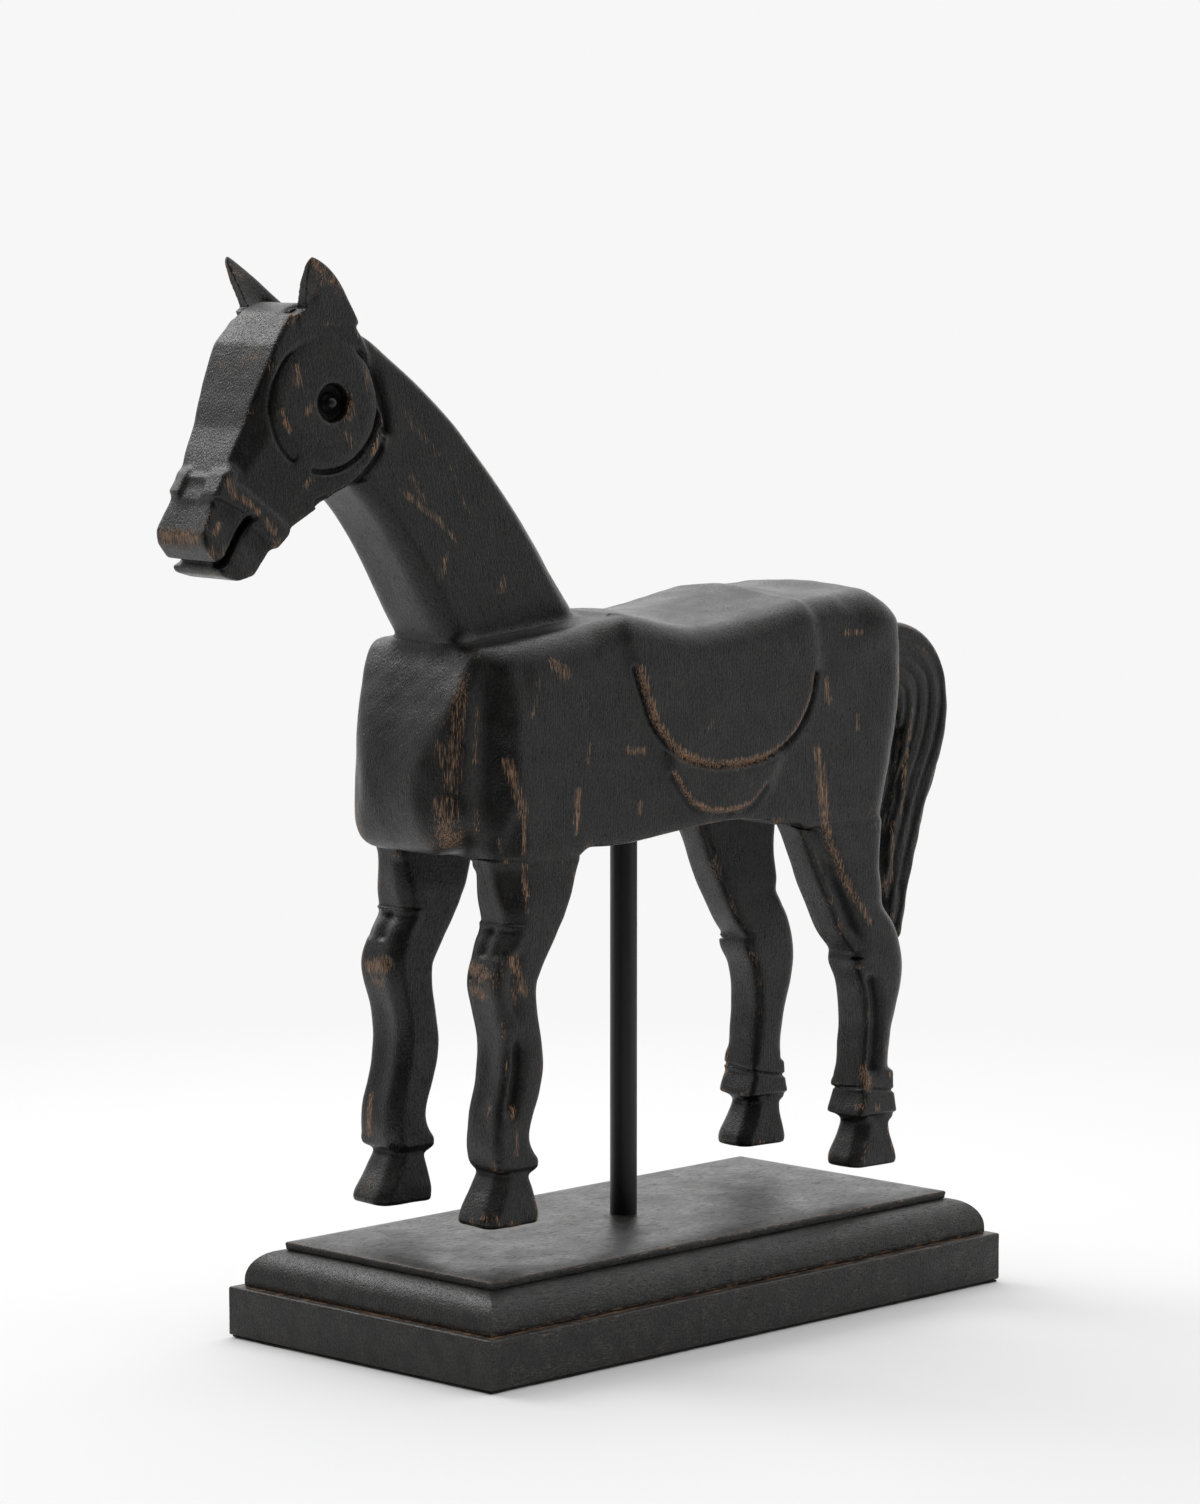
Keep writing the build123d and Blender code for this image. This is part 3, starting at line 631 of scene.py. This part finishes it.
head_marks = [
    ((176, 9, 358), (178, 2, 356), 3.0, 0.55), ((182, 13.5, 345), (192, 13.3, 320), 0.9, 0.55),
    ((200.5, 10, 296), (201, -10, 296), 2.8, 0.86), ((198, 12.5, 297), (195, 13, 300), 1.8, 0.78),
    ((192, 15, 315), (190, 15.4, 310), 2.0, 0.66), ((186, 15.5, 309), (180, 15.5, 304), 1.6, 0.75),
    ((176, 15.5, 301), (173, 15.5, 297), 1.6, 0.74), ((165, 17.5, 352), (164, 17.6, 348), 2.2, 0.7),
    ((171, 17.4, 338), (168, 17.7, 332), 1.7, 0.66), ((134, 17.8, 352), (133, 17.8, 345), 1.5, 0.66),
    ((141, 18, 340), (141, 18, 335), 1.8, 0.68), ((158, 18, 340), (160, 18, 338), 1.8, 0.6),
    ((143, 18, 330), (140, 18, 326), 1.8, 0.55), ((158, 17.5, 314), (160, 17.5, 312), 1.8, 0.62),
    ((129, 17.8, 342), (129, 17.8, 333), 0.8, 0.6),
    ((116, 17, 336), (101, 17.5, 321), 2.0, 0.52), ((113, 17, 314), (108, 17.5, 305), 1.6, 0.6),
    ((118, 16, 309), (103, 17.5, 299), 1.6, 0.55), ((103, 17.5, 300), (91, 18.5, 288), 1.5, 0.58),
    ((98, 18, 286), (101, 18, 278), 1.4, 0.55), ((96, 17, 318), (88, 17.8, 300), 1.0, 0.5),
    ((72, 19, 276), (74, 19, 272), 2.0, 0.55), ((84, 16, 324), (74, 16, 313), 0.9, 0.5),
]


ear_marks = [
    ((161, 22, 389), (156, 21, 384), 2.4, 0.75), ((146, 19.5, 379), (138, 18.5, 370), 0.9, 0.6),
    ((163, 19, 384), (164, 18, 376), 0.8, 0.45),
]


def carve_ears():
    """Each ear has its own block. The right one is slimmer, and both have a scooped inner face."""
    made = []
    for name, low, high, tip_shift in (
            ("ear_left", (130, 7, 360), (171, 28, 395), (0, 0, 1.8)),
            ("ear_right", (130, -28, 360), (171, -7, 395), (1.2, -1.6, 1.8))):
        block = Block(low, high, 0.4)
        x, side, z = block.axes
        shape = shape_head(block, block.stock(*head_stock, band=4.0))
        shape += 1.4 * bell(np.hypot((x - 156) / 1.1, (z - 377) / 1.8), 0, 5) * (1 - smooth(side, 13.5, 18))
        front = np.interp(z, [370, 372.5, 381, 390], [167, 161.0, 162.6, 163])
        shape = np.maximum(shape, x - front)
        field = ended(shape, ear_region(block), lap)
        piece = piece_from(f"carved_{name}", block, field, shape, ear_marks, wave=0.4)
        lean(piece, ear_seat, 391, tip_shift)
        made.append((piece, name))
    return made


# --- Tail ---
def carve_tail():
    """An arched tail with long locks that flow from the root to the tip."""
    block = Block((-162, -13, 119), (-98, 13, 253), 0.5)
    x, side, z = block.axes
    field = block.stock("tail", "tail_dowel")
    field = block.sand(field, 1.5) - 0.6
    outer = curve_points([(-106, 247), (-122, 249), (-140, 247.2), (-153, 237.5), (-158.5, 224),
                          (-158, 204), (-149.2, 177), (-140.2, 150), (-135, 125)], 6)
    depth = plane_distance(x, z, outer)
    sway = 1.1 * np.sin(z / 17.0) + 0.7 * np.sin(x / 9.0 + 1.0) + 0.5 * np.sin(z / 6.5 + depth)
    lock = np.abs(np.sin(pi * (depth + sway) / 5.6)) ** 0.6
    strand = np.abs(np.sin(pi * (depth + 1.6 * sway) / 1.7 + block.y * 0.3))
    flank = smooth(side, 3.5, 7.0)
    fullness = 0.45 + 0.55 * smooth(246 - z, 6, 40)
    field += (1.4 * (1 - lock) * fullness + 0.3 * (1 - strand)) * flank
    back = np.abs(np.sin(pi * (block.y + 0.8 * sway) / 4.6)) ** 0.5
    field += 1.1 * (1 - back) * (1 - flank) * smooth(z, 128, 150)
    field = block.sand(field, 0.45)
    marks = [((-139, 8, 215), (-138, 8, 204), 1.4, 0.7), ((-137, 8, 200), (-134, 8, 176), 1.2, 0.75),
             ((-130, 8, 172), (-129, 8, 150), 1.2, 0.8), ((-146, 8, 238), (-152, 7, 230), 1.0, 0.55),
             ((-154, 5, 215), (-152, 6, 200), 0.9, 0.5), ((-112, 6, 247), (-125, 6, 247), 1.6, 0.6)]
    return piece_from("carved_tail", block, field, field, marks)


# --- Base boards and felt ---
def on_base(places, heights):
    """Points at places on the base, turned with it."""
    x, y = places.T
    return np.stack([x * cos(base_turn) - y * sin(base_turn), x * sin(base_turn) + y * cos(base_turn),
                     np.broadcast_to(heights, x.shape)], axis=1)


def rectangle(half_x, half_y, count_x, count_y):
    """Places round a rectangle: count_x on each long side and count_y on each short one."""
    corners = np.array([(-half_x, -half_y), (half_x, -half_y), (half_x, half_y), (-half_x, half_y)])
    sides = zip(corners, np.roll(corners, -1, axis=0), (count_x, count_y) * 2)
    return np.vstack([start + (end - start) * np.arange(count)[:, None] / count
                      for start, end, count in sides])


def piece_of_rings(name, rings):
    """A closed piece from rings of points, each joined to the next, with a flat face at each end."""
    count = rings.shape[1]
    last = (len(rings) - 1) * count
    faces = [(r + i, r + (i + 1) % count, r + count + (i + 1) % count, r + count + i)
             for r in range(0, last, count) for i in range(count)]
    faces.append(tuple(range(count))[::-1])
    faces.append(tuple(range(last, last + count)))
    mesh = bpy.data.meshes.new(name)
    mesh.from_pydata((rings.reshape(-1, 3) / 1000).tolist(), [], faces)
    if mesh_volume(mesh) < 0:
        mesh.flip_normals()
    return new_object(name, mesh)


def moulded_board(name, profile):
    """A rectangular board whose edge has a profile of (inset, height, wear), and a flat top.

    The profile runs from the middle of the underside, round the edge, to the middle of the top.
    """
    spacing = 3.0
    counts = int(base_length / spacing), int(base_width / spacing)
    points = np.vstack([on_base(rectangle(base_length / 2 - inset, base_width / 2 - inset, *counts), height)
                        for inset, height, _ in profile])
    outward = points[:, :2] / np.linalg.norm(points[:, :2], axis=1)[:, None]
    points[:, :2] += 0.24 * outward * hand_waviness(points * (0.45, 0.45, 1.0))[:, None]
    piece = piece_of_rings(name, points.reshape(len(profile), -1, 3))
    mesh = piece.data
    patchy = 0.75 + 0.5 * np.random.default_rng(11).uniform(size=len(points))
    store(mesh, "wear", patchy * np.repeat([rub for _, _, rub in profile], len(points) // len(profile)))
    store(mesh, "edge", np.zeros(len(points)))
    store(mesh, "crease", np.zeros(len(points)))
    mesh.polygons.foreach_set("use_smooth", [True] * len(mesh.polygons))
    mesh.set_sharp_from_angle(angle=radians(38))
    return piece


def rounded(inset, height, radius, start, end, rub, count=5):
    """Profile points round an arc, its angles in degrees: 0 faces out and 90 faces up."""
    return [(inset - radius * cos(radians(a)), height + radius * sin(radians(a)), rub)
            for a in np.linspace(start, end, count)]


def plinth_profile():
    """An upright board with slightly rounded edges, rubbed where the upper board stands on it."""
    edge = 0.8
    profile = [(60, felt_top, 0), (20, felt_top, 0)]
    profile += rounded(edge, felt_top + edge, edge, -90, 0, 0.2)
    profile += [(0, 6, 0), (0, 10, 0), (0, 14, 0)]
    profile += rounded(edge, plinth_top - edge, edge, 0, 90, 0.22)
    return profile + [(3.4, plinth_top, 0.62), (5, plinth_top, 0.6), (60, plinth_top, 0)]


def moulding_profile():
    """A short upright, a quarter-round, a fillet, and the raised panel with a sloping border."""
    inset, radius, bottom = 4.0, 11.0, plinth_top + 0.05
    profile = [(60, bottom, 0), (12, bottom, 0.1), (inset + 0.3, bottom, 0.55)]
    profile += [(inset, bottom + 0.45, 0.5), (inset, 21.0, 0.1)]
    profile += rounded(inset + radius, 21.3, radius, 0, 86, 0, 12)
    profile += [(15.3, 32.2, 0.6), (14.8, 32.5, 0.2), (14.5, 34.2, 0.1)]
    profile += rounded(15.2, 34.5, 0.7, 0, 90, 0.36, 4)
    profile += [(18, panel_top - 0.45, 0.02), (21, panel_top - 0.05, 0)]
    return profile + [(inset, panel_top, 0) for inset in (30, 45, 62)]


def make_felt():
    """A thin felt sheet, cut by hand, that shows as a wavy edge below the board."""
    rng = np.random.default_rng(5)
    spacing, inset = 2.5, 0.7
    half_x, half_y = base_length / 2 - inset, base_width / 2 - inset
    edge = rectangle(half_x, half_y, int(2 * half_x / spacing), int(2 * half_y / spacing))
    outward = edge / np.linalg.norm(edge, axis=1)[:, None]
    phase = np.arange(len(edge))
    wave = 0.5 * np.sin(phase * 0.33 + 1) + 0.3 * np.sin(phase * 0.83) + 0.15 * rng.normal(size=len(edge))
    lift = np.clip(0.25 + 0.25 * np.sin(phase * 0.41 + 2) + 0.1 * rng.normal(size=len(edge)), 0, 0.6)
    rings = []
    for inward, height in ((8, 0), (0.2, 0.1), (0, 0.3), (0.1, 0.75), (1.5, 0.95), (8, 1.0)):
        raised = 0.4 * lift if inward < 2 else 0
        rings.append(on_base(edge - outward * (inward - 0.5 * wave[:, None]),
                             np.minimum(height + raised, 1.02)))
    return piece_of_rings("felt_sheet", np.array(rings))


# --- Materials ---
class Shader:
    """The node tree of a material or a world, with helpers that keep it short to write."""

    def __init__(self, owner):
        owner.use_nodes = True
        self.owner = owner
        self.tree = owner.node_tree
        self.surface = self.tree.nodes.get("Principled BSDF")

    def node(self, kind, inputs=(), **settings):
        made = self.tree.nodes.new(kind)
        for key, value in settings.items():
            setattr(made, key, value)
        for key, value in dict(inputs).items():
            self.connect(value, made.inputs[key])
        return made

    def connect(self, value, socket):
        if isinstance(value, bpy.types.NodeSocket):
            self.tree.links.new(value, socket)
        else:
            socket.default_value = value

    def set(self, **values):
        for key, value in values.items():
            self.connect(value, self.surface.inputs[key.replace("_", " ")])

    def math(self, operation, a, b=0.0, clamp=False):
        return self.node("ShaderNodeMath", {0: a, 1: b}, operation=operation, use_clamp=clamp).outputs[0]

    def times(self, a, b):
        return self.math("MULTIPLY", a, b)

    def plus(self, a, b):
        return self.math("ADD", a, b)

    def minus(self, a, b):
        return self.math("SUBTRACT", a, b)

    def span(self, value, low, high, to_low=0.0, to_high=1.0):
        """Maps low..high to to_low..to_high, and stops at the ends."""
        made = self.node("ShaderNodeMapRange", {"Value": value, "From Min": low, "From Max": high,
                                                "To Min": to_low, "To Max": to_high})
        return made.outputs["Result"]

    def blend(self, share, a, b):
        made = self.node("ShaderNodeMix", data_type="RGBA")
        self.connect(share, made.inputs["Factor"])
        self.connect(a, made.inputs[6])
        self.connect(b, made.inputs[7])
        return made.outputs[2]

    def attribute(self, name):
        return self.node("ShaderNodeAttribute", attribute_name=name).outputs["Fac"]

    def place(self, cell, turn=0.0):
        """Object coordinates, divided by a cell of (x, y, z) millimetres after a turn about Y."""
        source = self.node("ShaderNodeTexCoord").outputs["Object"]
        turned_about = self.node("ShaderNodeVectorRotate", {"Vector": source, "Angle": turn},
                                 rotation_type="Y_AXIS").outputs["Vector"]
        size = tuple(1000.0 / c for c in cell)
        return self.node("ShaderNodeVectorMath", {0: turned_about, 1: size}, operation="MULTIPLY").outputs[0]

    def noise(self, place, detail=2.0, roughness=0.5, distortion=0.0):
        made = self.node("ShaderNodeTexNoise", {"Vector": place, "Scale": 1.0, "Detail": detail,
                                                "Roughness": roughness, "Distortion": distortion})
        return made.outputs["Fac"]

    def bump(self, height, distance, strength=1.0, below=None):
        """A bump of height (0 to 1) times distance in millimetres."""
        inputs = {"Height": height, "Distance": distance / 1000, "Strength": strength}
        if below is not None:
            inputs["Normal"] = below
        return self.node("ShaderNodeBump", inputs).outputs["Normal"]


def long_cell(size, stretch, axis):
    """A cell of that size, stretched along one axis."""
    return tuple(size * stretch if i == axis else size for i in range(3))


def painted_wood(name, axis=2, turn=0.0, rub=1.0, gloss=0.30, scuffs=0.12):
    """Black satin paint brushed over open-grained wood, rubbed through where the mesh says, with painted
    shade in the creases.

    axis is the direction of the grain (0 is X, 2 is Z), after a turn about Y. rub scales the
    wear, and scuffs is how much pale dust is rubbed in along the grain.
    """
    s = Shader(bpy.data.materials.new(name))
    grain = s.noise(s.place(long_cell(0.55, 22, axis), turn), 3.0, 0.6)
    fine = s.noise(s.place(long_cell(0.28, 12, axis), turn), 2.0, 0.55)
    pores = s.noise(s.place(long_cell(0.5, 6, axis), turn), 0.0)
    blotch = s.noise(s.place((14, 14, 14)), 3.0, 0.6, 0.4)
    patch = s.noise(s.place((7, 7, 9)), 2.0, 0.5)
    speckle = s.noise(s.place((0.7, 0.7, 0.9)), 2.0, 0.6)
    pore = s.span(pores, 0.66, 0.74)

    # Wear: where the mesh says, and here and there along the sharpest edges.
    edge = s.times(s.attribute("edge"), s.span(patch, 0.47, 0.66, 0.0, 0.62))
    amount = s.times(s.math("MAXIMUM", s.attribute("wear"), edge), rub)
    streak = s.times(s.minus(grain, 0.5), 2.4)
    ticks = s.times(s.minus(fine, 0.5), 2.0)
    chipped = s.plus(s.plus(amount, streak), ticks)
    bare = s.times(s.span(chipped, 0.52, 0.95), s.span(amount, 0.08, 0.3))
    thin = s.times(s.span(chipped, 0.2, 0.6), s.span(amount, 0.1, 0.4))

    wood = s.blend(s.span(fine, 0.38, 0.62), (0.115, 0.062, 0.034, 1), (0.33, 0.20, 0.118, 1))
    paint = s.blend(s.span(blotch, 0.35, 0.68), (0.0060, 0.0066, 0.0063, 1), (0.0105, 0.0102, 0.0096, 1))
    scuffed = s.times(s.span(fine, 0.5, 0.62), s.span(patch, 0.42, 0.6, 0.15, 1.0))
    paint = s.blend(s.times(scuffed, scuffs), paint, (0.10, 0.097, 0.088, 1))
    paint = s.blend(s.times(thin, 0.5), paint, (0.05, 0.031, 0.02, 1))
    # Painted shade: the paint is darkened in the creases, where shade would fall.
    paint = s.blend(s.times(s.attribute("crease"), 0.55), paint, (0.003, 0.003, 0.003, 1))
    paint = s.blend(s.times(pore, 0.6), paint, (0.002, 0.002, 0.002, 1))
    rough = s.span(blotch, 0.3, 0.7, gloss - 0.05, gloss + 0.1)
    rough = s.plus(rough, s.times(bare, 0.28))
    rough = s.math("ADD", rough, s.times(pore, 0.2), clamp=True)

    relief = s.bump(grain, 0.25, 0.6)
    relief = s.bump(s.minus(1.0, pore), 0.16, 0.6, relief)
    relief = s.bump(speckle, 0.3, 0.7, relief)
    relief = s.bump(s.minus(1.0, bare), 0.12, 0.7, relief)
    s.set(Base_Color=s.blend(bare, paint, wood), Roughness=rough, Normal=relief)
    # Painted shade: the reflection is dimmed in the creases too, so that they read dark.
    painted_crease_shade_factor = s.minus(1.0, s.times(s.attribute("crease"), 0.7))
    s.set(Specular_IOR_Level=s.times(painted_crease_shade_factor, s.span(speckle, 0.36, 0.64, 0.26, 0.42)))
    return s.owner


def mottled(name, cell, noise, colours, share, roughness, relief):
    """A material whose colour, roughness and relief all follow one noise.

    share is the part of the noise's range that the two colours are spread over.
    """
    s = Shader(bpy.data.materials.new(name))
    mottle = s.noise(s.place(cell), *noise)
    s.set(Base_Color=s.blend(s.span(mottle, *share), *colours),
          Roughness=s.span(mottle, 0.3, 0.7, *roughness), Normal=s.bump(mottle, *relief))
    return s.owner


def plain_beech():
    """Unpainted wood, for the dowels and pegs inside."""
    colours = (0.42, 0.26, 0.14, 1), (0.58, 0.40, 0.24, 1)
    return mottled("beech", (0.5, 0.5, 7), (3.0, 0.6), colours, (0.35, 0.65), (0.55, 0.7), (0.08, 0.5))


def bright_zinc():
    """Plated steel, for the screws, the washer and the nut."""
    colours = (0.50, 0.52, 0.55, 1), (0.66, 0.67, 0.68, 1)
    material = mottled("zinc", (1.2, 1.2, 1.2), (3.0, 0.6), colours, (0, 1), (0.28, 0.45), (0.03, 0.4))
    material.node_tree.nodes["Principled BSDF"].inputs["Metallic"].default_value = 1.0
    return material


def black_felt():
    """Matted fibres."""
    colours = (0.006, 0.006, 0.006, 1), (0.022, 0.021, 0.020, 1)
    return mottled("felt_fibres", (0.25, 0.25, 0.25), (3.0, 0.7, 1.5), colours, (0, 1), (0.85, 1.0),
                   (0.2, 0.8))


def coated_steel(name):
    """Black paint on a steel rod, with faint drawing lines and dust."""
    s = Shader(bpy.data.materials.new(name))
    lines = s.noise(s.place((0.4, 0.4, 30)), 2.0, 0.5)
    dust = s.noise(s.place((3, 3, 8)), 3.0, 0.6)
    s.set(Base_Color=s.blend(s.span(dust, 0.4, 0.7), (0.004, 0.004, 0.004, 1), (0.008, 0.008, 0.008, 1)),
          Roughness=s.span(dust, 0.3, 0.7, 0.34, 0.46), Normal=s.bump(lines, 0.04, 0.5))
    s.surface.inputs["Specular IOR Level"].default_value = 0.36
    return s.owner


# --- Camera, light and floor ---
def make_camera():
    """A long lens a little above the horse, looking at its left front quarter."""
    data = bpy.data.cameras.new("camera")
    data.sensor_fit = "VERTICAL"
    data.sensor_height = 36.0
    data.lens = 130.4
    data.clip_end = 20.0
    camera = new_object("camera", data)
    camera.location = (1.3128, 1.4943, 0.4190)
    camera.rotation_euler = (radians(90 - 6.0586), 0, radians(138.95))
    scene.camera = camera


backdrop = (0.93, 0.93, 0.93, 1)    # the paper behind the horse


def make_floor():
    """A white sheet that the base stands on.

    It fades into the backdrop away from the horse, and in front its glow is dimmed, a painted shade for the
    dark of the room.
    """
    mesh = bpy.data.meshes.new("floor")
    reach = 12.0
    corners = [(-reach, -reach, 0), (reach, -reach, 0), (reach, reach, 0), (-reach, reach, 0)]
    mesh.from_pydata(corners, [], [(0, 1, 2, 3)])
    s = Shader(bpy.data.materials.new("white_sheet"))
    place = s.node("ShaderNodeTexCoord").outputs["Object"]
    distance = s.node("ShaderNodeVectorMath", {0: place}, operation="LENGTH").outputs["Value"]
    away = s.span(distance, 0.12, 0.7)
    heading = s.node("ShaderNodeVectorMath", {0: place}, operation="NORMALIZE").outputs[0]
    ahead = (0.66, 0.75, 0)
    front = s.node("ShaderNodeVectorMath", {0: heading, 1: ahead}, operation="DOT_PRODUCT")
    # Painted shade: beyond the horse on the camera side, the floor's glow is dimmed for the dark room in
    # front.
    unlit = s.times(s.span(distance, 0.45, 1.0), s.span(front.outputs["Value"], 0.3, 0.75))
    s.set(Base_Color=s.blend(away, (0.73, 0.73, 0.73, 1), (0, 0, 0, 1)),
          Emission_Strength=s.math("SUBTRACT", away, unlit, clamp=True))
    s.surface.inputs["Emission Color"].default_value = backdrop
    s.surface.inputs["Roughness"].default_value = 0.9
    s.surface.inputs["Specular IOR Level"].default_value = 0.0
    mesh.materials.append(s.owner)
    new_object("floor", mesh)


def soft_box(name, place, aim, size, power):
    """A large rectangular lamp at place, pointing at aim."""
    data = bpy.data.lights.new(name, "AREA")
    data.shape = "RECTANGLE"
    data.size, data.size_y = size
    data.energy = power
    lamp = new_object(name, data)
    lamp.location = place
    lamp.rotation_euler = (Vector(aim) - Vector(place)).to_track_quat("-Z", "Y").to_euler()


def make_light():
    """A white studio: bright above and behind the horse, and dark behind the camera."""
    world = bpy.data.worlds.new("studio")
    scene.world = world
    scene.view_settings.view_transform = "Standard"
    s = Shader(world)
    s.tree.nodes.clear()
    direction = s.node("ShaderNodeTexCoord").outputs["Generated"]
    turn, rise = radians(-144), radians(50)
    brightest = (cos(rise) * cos(turn), cos(rise) * sin(turn), sin(rise))
    toward = s.node("ShaderNodeVectorMath", {0: direction, 1: brightest}, operation="DOT_PRODUCT")
    level = s.span(toward.outputs["Value"], -0.2, 0.9, 0.05, 1.5)
    lit = s.node("ShaderNodeBackground", {"Strength": level, "Color": (1, 1, 1, 1)})
    seen = s.node("ShaderNodeBackground", {"Color": backdrop})
    by_camera = s.node("ShaderNodeLightPath").outputs["Is Camera Ray"]
    both = s.node("ShaderNodeMixShader", {"Fac": by_camera, 1: lit.outputs[0], 2: seen.outputs[0]})
    s.node("ShaderNodeOutputWorld", {"Surface": both.outputs[0]})
    soft_box("overhead", (-0.3, -0.5, 1.9), (0, 0, 0.2), (1.6, 1.2), 12)
    soft_box("window", (0.42, -1.6, 1.5), (0, 0, 0.2), (0.8, 0.8), 14)


# --- Putting it together ---
def finish_piece(piece, node, body, material):
    """Gives a piece its material and its body, and hides the CAD node that it stands for."""
    piece.data.materials.clear()
    piece.data.materials.append(material)
    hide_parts(node)
    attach(piece, body)


make_camera()
make_floor()
make_light()

upright = painted_wood("paint_upright_grain", axis=2)
along_neck = painted_wood("paint_neck_grain", axis=2, turn=radians(-10))
along_base = painted_wood("paint_base_grain", axis=0, rub=0.9, gloss=0.33, scuffs=0.45)

finish_piece(carve_torso(), "torso", "horse", upright)
finish_piece(carve_head(), "head_and_neck", "horse", along_neck)
finish_piece(carve_tail(), "tail", "horse", upright)
for piece, node in carve_legs() + carve_ears():
    finish_piece(piece, node, "horse", upright)
for name, profile, node in (("plinth_board", plinth_profile(), "base_plinth"),
                            ("moulding_board", moulding_profile(), "base_moulding")):
    finish_piece(moulded_board(name, profile), node, "stand", along_base)
finish_piece(make_felt(), "felt_pad", "stand", black_felt())

# These keep their CAD meshes.
for material, names in ((coated_steel("black_rod"), ["support_rod"]),
                        (plain_beech(), ["leg_dowels", "neck_dowels", "tail_dowel", "ear_pegs"]),
                        (bright_zinc(), ["base_screws", "rod_washer", "rod_nut"])):
    for name in names:
        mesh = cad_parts[name].data
        mesh.materials.clear()
        mesh.materials.append(material)
